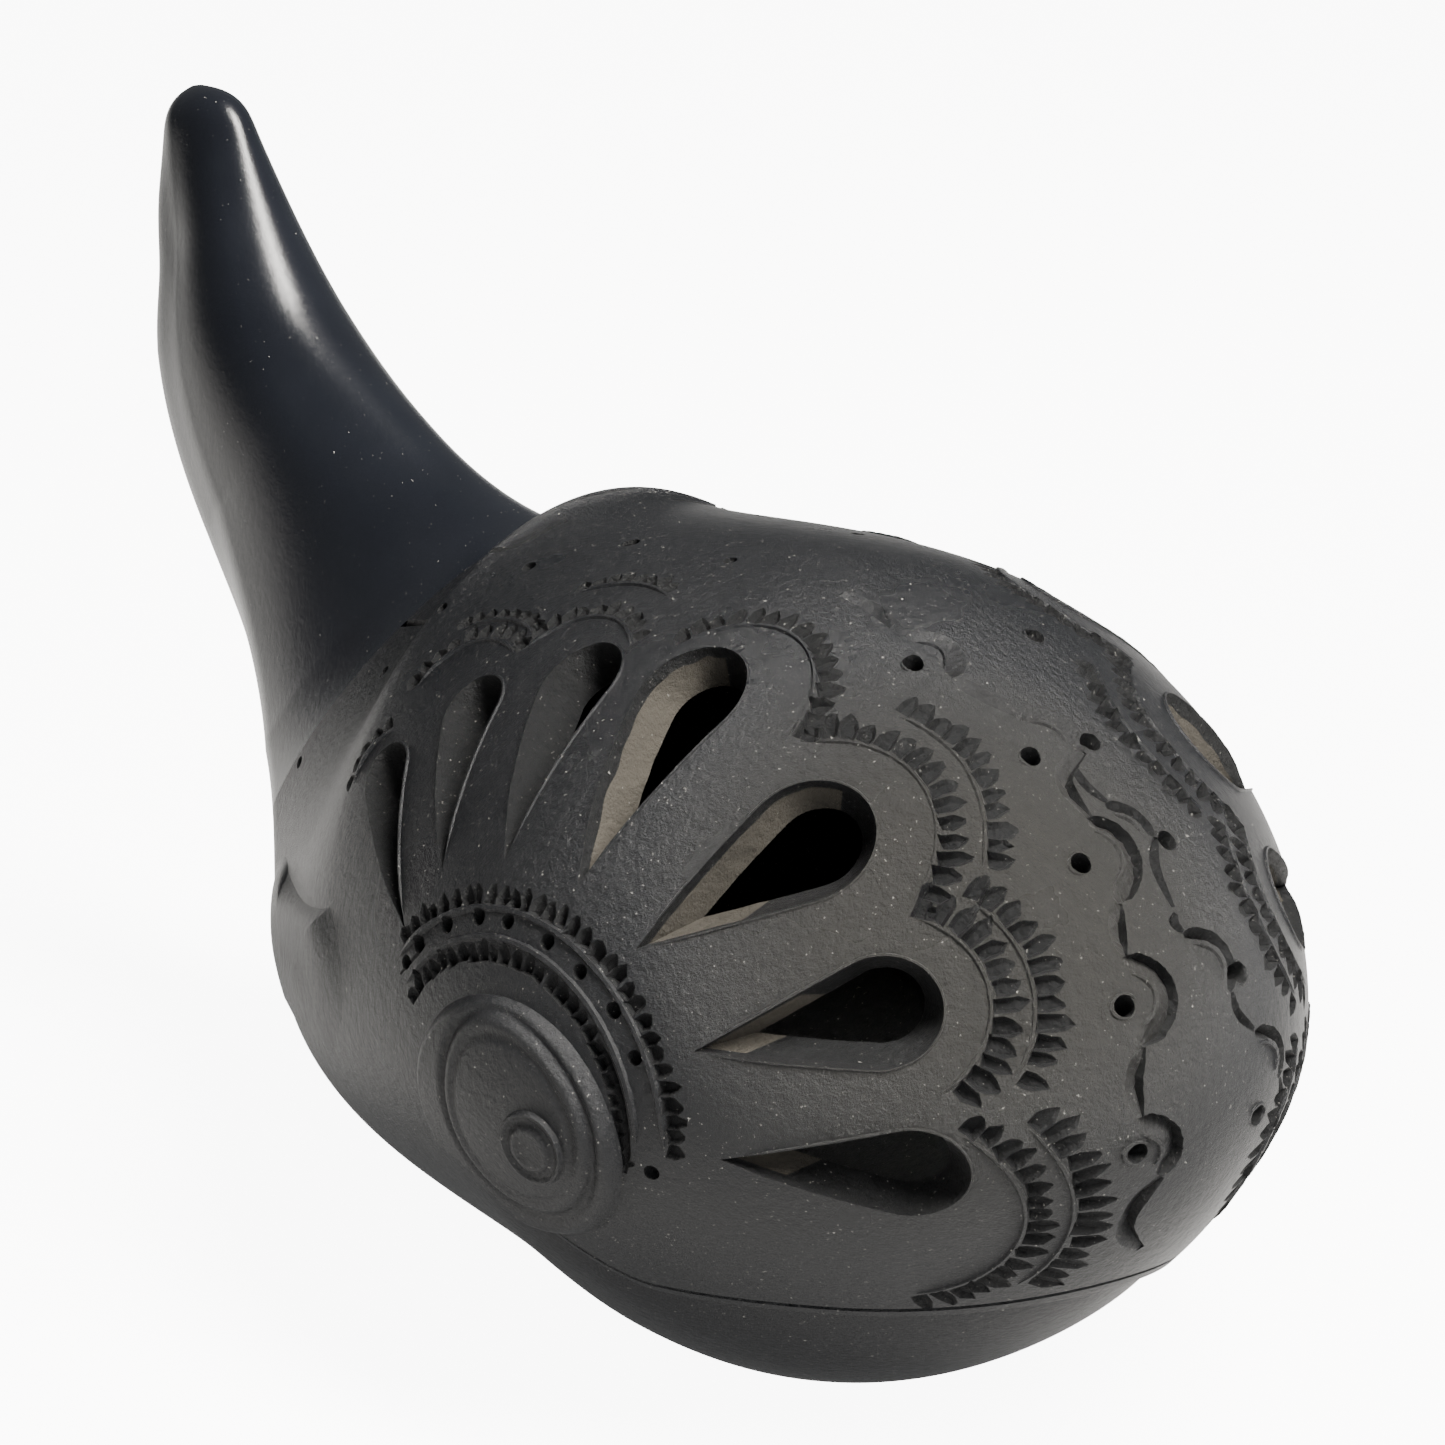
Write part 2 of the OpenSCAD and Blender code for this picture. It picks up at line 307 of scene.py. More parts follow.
def layers(solids):
    """Solids in groups whose bounding boxes don't overlap."""
    groups = []
    for points, faces, mark in solids:
        low, high = points.min(0), points.max(0)
        for group in groups:
            if not np.any(np.all((group["low"] < high) & (group["high"] > low), axis=1)):
                break
        else:
            group = {"low": np.empty((0, 3)), "high": np.empty((0, 3)), "solids": []}
            groups.append(group)
        group["low"] = np.vstack([group["low"], low])
        group["high"] = np.vstack([group["high"], high])
        group["solids"].append((points, faces, mark))
    return [g["solids"] for g in groups]


def combine_all(obj, solids, operation):
    """Boolean of obj with every solid (points, faces, marks), a group at a time."""
    for group in layers(solids):
        points, faces, marks, base = [], [], [], 0
        for p, f, mark in group:
            points.append(p)
            faces += [tuple(i + base for i in face) for face in outward(p, f)]
            marks += [mark] * len(f) if isinstance(mark, int) else list(mark)
            base += len(p)
        combine(obj, scratch_object(np.vstack(points), faces, marks), operation)


def block(low, high):
    """Points and faces of a box."""
    x, y, z = zip(low, high)
    points = np.array([(i, j, k) for i in x for j in y for k in z], float)
    faces = [(0, 1, 3, 2), (4, 6, 7, 5), (0, 4, 5, 1), (2, 3, 7, 6), (0, 2, 6, 4), (1, 5, 7, 3)]
    return points, outward(points, faces)


def mirrored(solids):
    """The solids on the whale's other side."""
    return [(p * (1, -1, 1), f, mark) for p, f, mark in solids]


def make_piece(obj, name, slot, *nodes):
    """Moves a finished shape to the frame as a named piece standing for its CAD nodes."""
    if "tail" in nodes:
        obj.data.materials[0] = BURNISHED
    obj.data.transform(Matrix.Translation((ORIGIN_X, 0, 0)) @ Matrix.Scale(SCALE, 4))
    obj.name = name
    obj.data.name = name
    obj.data.validate()
    obj.data.shade_smooth()
    obj.data.set_sharp_from_angle(angle=math.radians(SHARP_ANGLE))
    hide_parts(*nodes)
    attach(obj, "root")


# ---- Materials ----
BLOTCH_SCALE = 38.0
GRAIN_SCALE = 800.0
SPECK_SCALE = 2400.0
SPECK_COLOUR = (0.2, 0.195, 0.18)
SPECK_FULL = 0.78           # noise value at which a speck is solid
BROW_SHEEN_CORE = 0.4             # share of the sheen's radius inside which the painted sheen's colour is full
BROW_COARSENESS = 1.6


def node(tree, kind, inputs=(), **settings):
    """New node, with each input linked to a socket or set to a value."""
    new = tree.nodes.new(kind)
    for key, value in settings.items():
        setattr(new, key, value)
    for key, value in dict(inputs).items():
        if isinstance(value, bpy.types.NodeSocket):
            tree.links.new(value, new.inputs[key])
        else:
            new.inputs[key].default_value = value
    return new


def speckle(tree, place, scale, low, high):
    """0 to 1 mask of scattered specks."""
    cloud = node(tree, "ShaderNodeTexNoise", {"Vector": place, "Scale": scale, "Detail": 2.0,
                                              "Roughness": 0.6})
    mask = node(tree, "ShaderNodeMapRange", {"Value": cloud.outputs[0], "From Min": low, "From Max": high})
    return mask.outputs[0]


def mix(tree, factor, a, b):
    """Colour between a and b, the node's sockets 6 and 7, each a socket or a colour."""
    blend = node(tree, "ShaderNodeMix", {"Factor": factor}, data_type="RGBA")
    for key, value in ((6, a), (7, b)):
        if isinstance(value, bpy.types.NodeSocket):
            tree.links.new(value, blend.inputs[key])
        else:
            blend.inputs[key].default_value = (*value, 1)
    return blend.outputs[2]


def ranged(tree, value, low, high):
    """A value's middle range, 0.3 to 0.7, spread over low to high, and held there beyond it."""
    spread = node(tree, "ShaderNodeMapRange", {"Value": value, "From Min": 0.3, "From Max": 0.7,
                                               "To Min": low, "To Max": high})
    return spread.outputs[0]


def clay(name, dark, light, rough, grain, dust, gloss, brow_sheen=None):
    """Fired clay: blotched colour, dust specks, and a grain whose depth is given in millimetres.
    The last argument is a paler, warmer colour round the forehead: painted sheen standing in for a highlight
    there. The grain is coarser there too."""
    material = bpy.data.materials.new(name)
    material.use_nodes = True
    tree = material.node_tree
    shader = tree.nodes["Principled BSDF"]
    place = node(tree, "ShaderNodeTexCoord").outputs["Object"]
    blotch = node(tree, "ShaderNodeTexNoise", {"Vector": place, "Scale": BLOTCH_SCALE,
                                               "Detail": 5.0}).outputs[0]
    fine = node(tree, "ShaderNodeTexNoise", {"Vector": place, "Scale": GRAIN_SCALE, "Detail": 8.0,
                                             "Roughness": 0.72}).outputs[0]
    colour = mix(tree, ranged(tree, blotch, 0.0, 1.0), dark, light)
    # painted sheen: the colour turns paler and warmer towards the forehead's middle, standing in for a
    # highlight; the grain coarsens there as well
    if brow_sheen:
        centre = Vector(BROW_SHEEN) * SCALE + Vector((ORIGIN_X, 0, 0))
        away = node(tree, "ShaderNodeVectorMath", {0: place, 1: centre}, operation="DISTANCE")
        sheen_share = node(tree, "ShaderNodeMapRange", {"Value": away.outputs["Value"], "From Min": BROW_SHEEN_R * SCALE,
                                                 "From Max": BROW_SHEEN_CORE * BROW_SHEEN_R * SCALE}).outputs[0]
        colour = mix(tree, sheen_share, colour, brow_sheen)
        coarse = node(tree, "ShaderNodeMath", {0: sheen_share, 1: BROW_COARSENESS, 2: 1.0}, operation="MULTIPLY_ADD")
        fine = node(tree, "ShaderNodeMath", {0: fine, 1: coarse.outputs[0]}, operation="MULTIPLY").outputs[0]
    specks = speckle(tree, place, SPECK_SCALE, 0.735 - 0.05 * dust, SPECK_FULL)
    tree.links.new(mix(tree, specks, colour, SPECK_COLOUR), shader.inputs["Base Color"])
    tree.links.new(ranged(tree, blotch, rough[0], rough[1]), shader.inputs["Roughness"])
    bump = node(tree, "ShaderNodeBump", {"Height": fine, "Strength": 1.0, "Distance": grain * 0.001})
    tree.links.new(bump.outputs[0], shader.inputs["Normal"])
    shader.inputs["Specular IOR Level"].default_value = gloss
    return material


# the carved clay's forehead colour is painted sheen, lighter and warmer than the clay
CARVED = clay("carved_black_clay", (0.0028, 0.0031, 0.0038), (0.0055, 0.0058, 0.0066), rough=(0.25, 0.35),
              grain=0.35, dust=1, gloss=0.22, brow_sheen=(0.0175, 0.0171, 0.016))
# dark clay of fresh cuts; it also colours the hollow inside, as painted shade
CUT_CLAY_AND_HOLLOW_SHADE = clay("cut_clay_and_hollow_shade", (0.002, 0.0022, 0.0025), (0.006, 0.0063, 0.0067), rough=(0.42, 0.56),
           grain=0.8, dust=1, gloss=0.2)
RAW = clay("raw_clay_inside", (0.032, 0.029, 0.024), (0.062, 0.056, 0.047), rough=(0.8, 0.95),
           grain=0.8, dust=0, gloss=0.12)
# burnished clay: the black is the clay's own, and its bluish tint is painted reflection of the sky
BURNISHED = clay("burnished_black_clay", (0.003, 0.0035, 0.005), (0.0055, 0.0063, 0.0085), rough=(0.19, 0.25),
                 grain=0.05, dust=0, gloss=0.3)
SURFACES = [CARVED, CUT_CLAY_AND_HOLLOW_SHADE, RAW]


# ---- The chart on the body ----
def unit(v):
    """The vector at length 1."""
    return v / np.linalg.norm(v)


AXIS_OUT = unit(EYE - CENTRE)
TOWARD_NOSE = unit(np.array([1.0, 0, 0]) - AXIS_OUT * AXIS_OUT[0])
TOWARD_TOP = np.cross(AXIS_OUT, TOWARD_NOSE)


def chart_ray(p):
    """Direction from CENTRE of a chart point, whose distance from the eye is an angle."""
    far = math.hypot(*p)
    side = (TOWARD_NOSE * p[0] + TOWARD_TOP * p[1]) / max(far, 1e-9)
    return AXIS_OUT * math.cos(math.radians(far)) + side * math.sin(math.radians(far))


def polar(angle, distance, centre=(0, 0)):
    """Chart point at an angle and distance from centre."""
    a = math.radians(angle)
    return centre[0] + distance * math.cos(a), centre[1] + distance * math.sin(a)


def hit(direction):
    """Point and outward normal of the body's surface where a ray from CENTRE leaves it."""
    place, normal, _, _ = skin_tree.ray_cast(Vector(CENTRE), Vector(direction))
    return np.array(place), np.array(normal)


outer_points, outer_faces = body_mesh(0, TAIL_STATION, AROUND, NOSE_STEPS, STATION_STEP)
outer_faces = outward(outer_points, outer_faces)
skin_tree = BVHTree.FromPolygons(outer_points.tolist(), outer_faces)


# ---- Lines over the surface ----
def trace(directions):
    """Points, normals and headings of a line over the surface, through rays from CENTRE."""
    hits = [hit(d) for d in directions]
    points = np.array([h[0] for h in hits])
    normals = np.array([h[1] for h in hits])
    headings = np.gradient(points, axis=0)
    headings /= np.linalg.norm(headings, axis=1)[:, None]
    return points, normals, headings


def arc_rays(centre, radius, first, last, steps):
    """Rays along an arc on the chart."""
    return [chart_ray(polar(first + (last - first) * i / steps, radius, centre)) for i in range(steps + 1)]


def swept(points, normals, headings, outline):
    """Closed solid with a cross-section outline(i) = [(across, out)...] swept along a line."""
    sides = np.cross(headings, normals)
    rings = []
    for i in range(len(points)):
        ring = [points[i] + a * sides[i] + o * normals[i] for a, o in outline(i)]
        rings.append(np.array(ring))
    return closed_mesh(rings, rings[0].mean(0), rings[-1].mean(0))


def taper(i, count, ramp):
    """Size of a line's cross-section i, which runs out over `ramp` of them at each end."""
    return min(1.0, (min(i, count - 1 - i) + 0.6) / ramp)


def ridge(directions, radius, rise=0.0):
    """Uneven round bead laid on the surface."""
    points, normals, headings = trace(directions)

    def outline(i):
        r = radius * taper(i, len(points), 4) * rng.uniform(0.85, 1.15)
        return [(r * math.cos(a), rise + r * math.sin(a)) for a in turn_angles(6)]
    return (*swept(points, normals, headings, outline), 0)


def groove(directions, half_width, depth, lean=0.0):
    """V-shaped cut. A lean moves its bottom toward the nose, so that one wall is gentle and one steep."""
    points, normals, headings = trace(directions)
    nose_side = np.sign(np.cross(headings, normals)[:, 0].mean()) or 1

    def outline(i):
        t = taper(i, len(points), 4)
        w = half_width * (0.4 + 0.6 * t) * rng.uniform(0.92, 1.08)
        ring = [(w, 0.6), (-w, 0.6), (-w, 0.0), (lean * w, -depth * t * rng.uniform(0.92, 1.08)), (w, 0.0)]
        return [(nose_side * a, o) for a, o in ring]
    solid, faces = swept(points, normals, headings, outline)
    # a gentle wall keeps the finish of the surface
    walls = [1, 1, 0 if lean else 1, 1, 1]
    return solid, faces, [1] * 5 + walls * (len(points) - 1) + [1] * 5


NOTCH_OUTLINE = [(-0.47, 0), (0.47, 0), (0.54, 0.4), (0.46, 0.66), (0.14, 0.97),
                 (-0.14, 0.97), (-0.46, 0.66), (-0.54, 0.4)]


def notch(base, normal, out, width, length, depth):
    """Chip cut: blunt and deep at its base, rising to a narrow round end, uneven as by hand."""
    side = np.cross(normal, out)
    shifts = [(rng.uniform(-0.09, 0.09), rng.uniform(-0.09, 0.09)) for _ in NOTCH_OUTLINE]
    points = []
    for height, shrink, start in ((0.5, 1.0, 0.0), (0.0, 1.0, 0.0), (-depth, 0.5, 0.1)):
        for (a, b), (u, v) in zip(NOTCH_OUTLINE, shifts):
            across = side * width * (a * shrink + u)
            forward = out * length * (start + b * (1 - 2.8 * start) + v)
            points.append(base + across + forward + normal * height * (1 - 0.6 * b * (height < 0)))
    count = len(NOTCH_OUTLINE)
    faces = [tuple(range(count)), tuple(reversed(range(2 * count, 3 * count)))]
    for r in range(2):
        for i in range(count):
            k = (i + 1) % count
            faces.append((r * count + i, r * count + count + i, r * count + count + k, r * count + k))
    return np.array(points), faces, 1


def inside_border(p, skip, margin=0.0):
    """Whether a chart point lies inside another border's first row."""
    for i, (centre, rows) in enumerate(BORDERS):
        if i != skip and math.hypot(p[0] - centre[0], p[1] - centre[1]) < rows[0][0] + margin:
            return True
    return False


def spaced(centre, radius, first, last, pitch):
    """Chart angles along an arc, a pitch apart on the surface, with a hand's unevenness."""
    found = []
    a = first
    sign = 1 if last > first else -1
    here, _ = hit(chart_ray(polar(a, radius, centre)))
    step = 0.5 * sign
    while (last - a) * sign > 0:
        found.append(a)
        goal = pitch * rng.uniform(0.86, 1.14)
        gone = 0.0
        while gone < goal:
            a += step
            there, _ = hit(chart_ray(polar(a, radius, centre)))
            gone += np.linalg.norm(there - here)
            here = there
    return found


def notch_row(centre, radius, first, last, length, skip, pitch=PITCH, width=1.08, depth=0.95):
    """Notches along an arc, left out where it passes inside another border. width is a share of the pitch."""
    made = []
    for a in spaced(centre, radius, first, last, pitch):
        p = polar(a, radius, centre)
        if inside_border(p, skip, 1.0):
            continue
        base, normal = hit(chart_ray(p))
        ahead, _ = hit(chart_ray(polar(a + rng.uniform(-0.4, 0.4), radius + 1, centre)))
        out = ahead - base
        out = unit(out - normal * (out @ normal))
        made.append(notch(base, normal, out, pitch * width * rng.uniform(0.85, 1.12),
                          length * rng.uniform(0.78, 1.12), depth * rng.uniform(0.7, 1.25)))
    return made


def clear_runs(centre, radius, first, last, steps, skip):
    """Rays along an arc, split into runs where it passes inside another border."""
    runs = [[]]
    for j in range(steps + 1):
        p = polar(first + (last - first) * j / steps, radius, centre)
        if inside_border(p, skip, 0.6):
            runs.append([])
        else:
            runs[-1].append(chart_ray(p))
    return [run for run in runs if len(run) > 4]


def border_ridges():
    """Thin bead under each row of notches."""
    made = []
    for i, (centre, rows) in enumerate(BORDERS):
        for radius, first, last, _ in rows:
            steps = max(8, int(abs(last - first) * radius / 50))
            made += [ridge(run, 0.3) for run in clear_runs(centre, radius - 0.35, first, last, steps, i)]
    return made


def border_notches():
    """The notches of every border."""
    made = []
    for i, (centre, rows) in enumerate(BORDERS):
        for radius, first, last, length in rows:
            made += notch_row(centre, radius, first, last, length, i)
    return made


# ---- Windows ----
def teardrop(petal, steps=40):
    """Outline of a window on the chart, and the middle of its round end."""
    tip = np.array(polar(petal[0], petal[1]))
    far_end = np.array(polar(petal[2], petal[3]))
    r = petal[4]
    along = far_end - tip
    length = np.linalg.norm(along)
    heading = math.atan2(along[1], along[0])
    middle = tip + along * (length - r) / length
    turn = math.pi / 2 + math.asin(r / (length - r))
    arc = [middle + r * np.array([math.cos(heading - turn + 2 * turn * j / steps),
                                  math.sin(heading - turn + 2 * turn * j / steps)]) for j in range(steps + 1)]
    straight = steps // 2
    first = [tip + (arc[0] - tip) * j / straight for j in range(straight)]
    last = [arc[-1] + (tip - arc[-1]) * j / straight for j in range(1, straight)]
    return first + arc + last, middle


def raw_wall(p, tip, middle, reach):
    """Whether the wall at outline point p shows raw clay: up to `reach` of the length, on the side behind."""
    along = middle - tip
    share = (p - tip) @ along / (along @ along)
    behind = along[0] * (p - tip)[1] - along[1] * (p - tip)[0] > 0
    return share < (reach if behind else 0.35 * reach)


def window(petal, reach):
    """Cut whose walls slope in, most of all at the tip. Its deeper rings wander, as torn clay does."""
    outline, middle = teardrop(petal)
    tip = np.array(polar(petal[0], petal[1]))
    focus = middle + unit(middle - tip) * 0.5 * petal[4]
    count = len(outline)
    rings = []
    for level, (share, depth) in enumerate(WINDOW_RINGS):
        ring = []
        for j, p in enumerate(outline):
            wander = noise.noise(Vector((j * 0.3, petal[0], level)))
            q = np.asarray(p) + (share + 0.03 * wander * (level > 2)) * (focus - p)
            ray = chart_ray(q)
            place, _ = hit(ray)
            ring.append(place - ray * (depth + 0.5 * wander * (level > 1)))
        rings.append(np.array(ring))
    points = np.vstack(rings)
    faces = [tuple(range(count)), tuple(range(len(points) - 1, len(points) - count - 1, -1))]
    marks = [1, 1]
    for r in range(len(rings) - 1):
        for j in range(count):
            k = (j + 1) % count
            faces.append((r * count + j, (r + 1) * count + j, (r + 1) * count + k, r * count + k))
            marks.append(2 if r >= 2 and raw_wall(np.asarray(outline[j]), tip, middle, reach) else 1)
    return points, faces, marks


def window_lip(petal):
    """Thin burr that the knife raised along a window's edge."""
    outline, middle = teardrop(petal)
    rays = [chart_ray(np.asarray(p) + 0.012 * (p - middle)) for p in outline[2:-2]]
    return ridge(rays, 0.24, -0.02)


def dot_hole(p, r=DOT_R, depth=WALL + 2):
    """Pierced dot, a little narrower inside. The default depth goes through the wall."""
    place, normal = hit(chart_ray(p))
    side = unit(np.cross(normal, (0, 0, 1)))
    up = np.cross(normal, side)
    rim = [side * math.cos(a) + up * math.sin(a) for a in turn_angles(16)]
    rings = [np.array([place + normal * level + size * q for q in rim])
             for level, size in ((1.5, r * 1.2), (0, r), (-depth, r * 0.8))]
    return (*closed_mesh(rings, rings[0].mean(0), rings[-1].mean(0)), 1)


def dot_rim(p, r=DOT_R):
    """Clay pushed up round a dot."""
    return ridge(arc_rays(p, r + 0.45, 0, 330, 14), 0.3, -0.05)


# ---- Band round the eye, wave lines and the line before the tail ----
def band():
    """Raised lines of the band, and what is cut in it."""
    raised = [ridge(arc_rays(BAND_CENTRE, r, first, last, 60), 0.42) for r, first, last in BAND_RIDGES]
    cuts = []
    for r, first, last, length in BAND_NOTCHES:
        cuts += notch_row(BAND_CENTRE, r, first, last, length, None, BAND_PITCH)
    for a in BAND_DOTS:
        place = polar(a, BAND_DOTS_R + rng.uniform(-0.4, 0.4), BAND_CENTRE)
        cuts.append(dot_hole(place, rng.uniform(0.75, 0.95), 1.1))
    cuts.append(groove(arc_rays(BAND_CENTRE, 18.2, 38, -16, 24), 0.55, 0.9))
    cuts.append(groove([chart_ray(p) for p in BAND_TAIL], 0.35, 0.6))
    return raised, cuts


def through(points, steps=6):
    """Rays along a smooth line through chart points."""
    p = np.array([2 * np.array(points[0]) - points[1], *points, 2 * np.array(points[-1]) - points[-2]])
    rays = []
    for i in range(1, len(p) - 2):
        a, b, c, d = p[i - 1:i + 3]
        for j in range(steps + (i == len(p) - 3)):
            t = j / steps
            q = 0.5 * (2 * b + (c - a) * t + (2 * a - 5 * b + 4 * c - d) * t ** 2
                       + (3 * b - a - 3 * c + d) * t ** 3)
            rays.append(chart_ray(q))
    return rays


def wave(scallops, cuts, lean=WAVE_LEAN, half_width=1.1):
    """Raised lip and leaning groove of a wave line."""
    raised, cut = [], []
    for centre, r, first, last in scallops:
        cut.append(groove(arc_rays(centre, r - 0.7, first, last, 30), half_width, 1.3, lean))
        raised.append(ridge(arc_rays(centre, r - 2.3, first - 12, last + 12, 26), 0.3))
    cut += [groove(through(line, 5), 0.9 * half_width, 1.25, lean) for line in cuts]
    return raised, cut


def tail_line():
    """Carved line and dots where the body meets the tail."""
    cuts = [groove(through(TAIL_LINE, 8), 0.4, 0.5)]
    cuts += [dot_hole(p, rng.uniform(0.7, 1.0), 1.6) for p in TAIL_DOTS]
    return cuts


# ---- Pieces ----
def seam_z(x):
    """Height of the seam between the shells."""
    rise = ease(np.clip((SEAM_RISE_START - x) / SEAM_RISE_LENGTH, 0, 1))
    return MOUTH_Z + SEAM_RISE * rise + SMILE_CURVE * np.maximum(0, x - SMILE_START) ** 2


def under_seam():
    """Everything under the seam."""
    x = np.linspace(75, -100, 176)
    z = seam_z(x)
    n = len(x)
    sheets = [np.stack([x, np.full(n, y), level], 1) for y in (-90, 90) for level in (z, np.full(n, -90.0))]
    faces = []
    for j in range(n - 1):
        a, b, c, d = j, n + j, 2 * n + j, 3 * n + j
        faces += [(a, a + 1, b + 1, b), (c, d, d + 1, c + 1), (a, c, c + 1, a + 1), (b, b + 1, d + 1, d)]
    faces += [(0, n, 3 * n, 2 * n), (n - 1, 3 * n - 1, 4 * n - 1, 2 * n - 1)]
    return np.vstack(sheets), faces, 1


def seam_groove(offset, half_width, depth):
    """Groove along the mouth, from under one eye round the nose to under the other."""
    angles = np.radians(np.linspace(-80, 80, 180))
    rays = []
    for a in angles:
        v = np.array([math.cos(a), math.sin(a), -0.4])
        for _ in range(12):
            place, _ = hit(unit(v))
            v = v + np.array([0, 0, (seam_z(place[0]) + offset - place[2]) / 60])
        rays.append(unit(v))
    points, normals, headings = trace(rays)

    def outline(i):
        bottom = -depth * taper(i, len(points), 26) - 0.02
        return [(half_width, 0.6), (-half_width, 0.6), (-half_width, -0.02), (0.2 * half_width, bottom)]
    return (*swept(points, normals, headings, outline), 0)


def cavity():
    """The hollow inside, open behind for the tail's spigot, with a flat floor."""
    points, faces = body_mesh(WALL, TAIL_STATION + 0.25, CAVITY_AROUND, CAVITY_NOSE_STEPS,
                              CAVITY_STATION_STEP)
    points[:, 2] = np.maximum(points[:, 2], WALL)
    # the hollow takes the dark cut clay instead of the grey-tan raw clay: painted shade for its dark inside
    return points, faces, 1


def upper_shell():
    """Back, cheeks and forehead. The wave lines lie on the right side and the middle only."""
    shell = scratch_object(outer_points, outer_faces)
    band_raised, band_cuts = band()
    near_raised, near_cuts = wave(WAVE_NEAR, WAVE_NEAR_CUTS)
    far_raised, far_cuts = wave(WAVE_FAR, WAVE_FAR_CUTS, 0.0, 0.7)
    both_raised = border_ridges() + band_raised + [window_lip(p) for p in PETALS]
    both_raised += [dot_rim(polar(*d)) for d in DOTS]
    both_cuts = border_notches() + band_cuts + tail_line() + [dot_hole(polar(*d)) for d in DOTS]
    combine_all(shell, both_raised + mirrored(both_raised) + near_raised + far_raised, "UNION")
    combine_all(shell, [cavity()], "DIFFERENCE")
    combine_all(shell, [under_seam()], "DIFFERENCE")
    windows = [window(p, reach) for p, reach in zip(PETALS, RAW_REACH)]
    combine_all(shell, windows + mirrored(windows), "DIFFERENCE")
    combine_all(shell, both_cuts + mirrored(both_cuts) + near_cuts + far_cuts, "DIFFERENCE")
    combine_all(shell, [seam_groove(0.9, 0.4, 0.5)], "DIFFERENCE")
    make_piece(shell, "upper_shell_carved", "carved_clay", "upper_shell")


def lower_shell():
    """The jaw is tucked in a little under the mouth line."""
    points = outer_points.copy()
    below = seam_z(points[:, 0]) - points[:, 2]
    ahead = np.clip((points[:, 0] + 4) / 14, 0, 1)
    tuck = JAW_TUCK * np.exp(-np.maximum(below, 0) / 4) * ahead
    side = points - np.array([0, 0, SPINE_Z[0]])
    side[:, 2] = 0
    side /= np.maximum(np.linalg.norm(side, axis=1), 1e-6)[:, None]
    shell = scratch_object(points - side * tuck[:, None], outer_faces)
    combine_all(shell, [under_seam()], "INTERSECT")
    combine_all(shell, [(*block((-200, -200, 0), (200, 200, 200)), 1)], "INTERSECT")
    combine_all(shell, [cavity()], "DIFFERENCE")
    rim = turn_angles(96)
    rings = [np.stack([r * np.cos(rim), r * np.sin(rim), np.full_like(rim, z)], 1)
             for z, r in ((-3.0, BASE_OPENING_R + 3.7), (0.7, BASE_OPENING_R), (2 * WALL, BASE_OPENING_R))]
    combine_all(shell, [(*closed_mesh(rings, (0, 0, -3.0), (0, 0, 2 * WALL)), 2)], "DIFFERENCE")
    make_piece(shell, "lower_shell_burnished", "burnished_clay", "lower_shell")


def tail_dent(t, angles):
    """How far the tail's surface is pressed in: a scoop in each side, and a notch behind."""
    def bump(centre, width):
        gap = np.abs((angles - math.radians(centre) + math.pi) % (2 * math.pi) - math.pi)
        return np.clip(1 - (gap / math.radians(width)) ** 2, 0, 1) ** 2

    def along(start, full, fade, end):
        return float(np.clip((t - start) / (full - start), 0, 1) * np.clip((end - t) / (end - fade), 0, 1))

    scoop = 3.4 * along(3.1, 4.3, 5.5, 6.1) * (bump(188, 62) + bump(-8, 62))
    behind = 1.1 * along(5.15, 5.4, 5.42, 5.7) * bump(270, 75)
    return scoop + behind


def pressed(ring, middle, depth):
    """The ring's points moved towards its middle."""
    inward = middle - ring
    inward /= np.linalg.norm(inward, axis=1)[:, None]
    return ring + inward * depth[:, None]


def tail():
    """Solid tail on its spigot, with pressed sides and a soft round end."""
    angles = turn_angles(180)
    rings = [body_ring(t, WALL + SLIP_GAP, angles) for t in np.linspace(SPIGOT_STATION, TAIL_STATION, 5)]
    steps = 130
    for i in range(steps + 1):
        t = TAIL_STATION + (LAST_STATION - TAIL_STATION) * i / steps
        depth = tail_dent(t, angles) + TAIL_INSET * smooth(t, 3, 4)
        rings.append(pressed(body_ring(t, 0, angles), spine(t)[0], depth))
    middle, direction = spine(LAST_STATION)
    for a in np.radians(np.arange(6, 90, 6)):
        ring = body_ring(LAST_STATION, 0, angles, math.cos(a), TIP_ROUNDING * math.sin(a))
        rings.append(pressed(ring, middle, tail_dent(LAST_STATION, angles) * math.cos(a) + TAIL_INSET))
    first = len(rings) - TIP_RINGS
    for _ in range(TIP_PASSES):
        neighbours = zip(rings[first - 1:], rings[first:], rings[first + 1:])
        rings[first:-1] = [(before + 2 * ring + after) / 4 for before, ring, after in neighbours]
    tip = middle + direction * (TIP_ROUNDING - TAIL_INSET)
    points, faces = closed_mesh(rings, spine(SPIGOT_STATION)[0], tip)
    shape = scratch_object(points, outward(points, faces))
    make_piece(shape, "tail_burnished", "burnished_clay", "tail")


def on_side(x, z):
    """Point and normal of the body's right side at x, z."""
    place, normal, _, _ = skin_tree.ray_cast(Vector((x, -120, z)), Vector((0, 1, 0)))
    return np.array(place), np.array(normal)


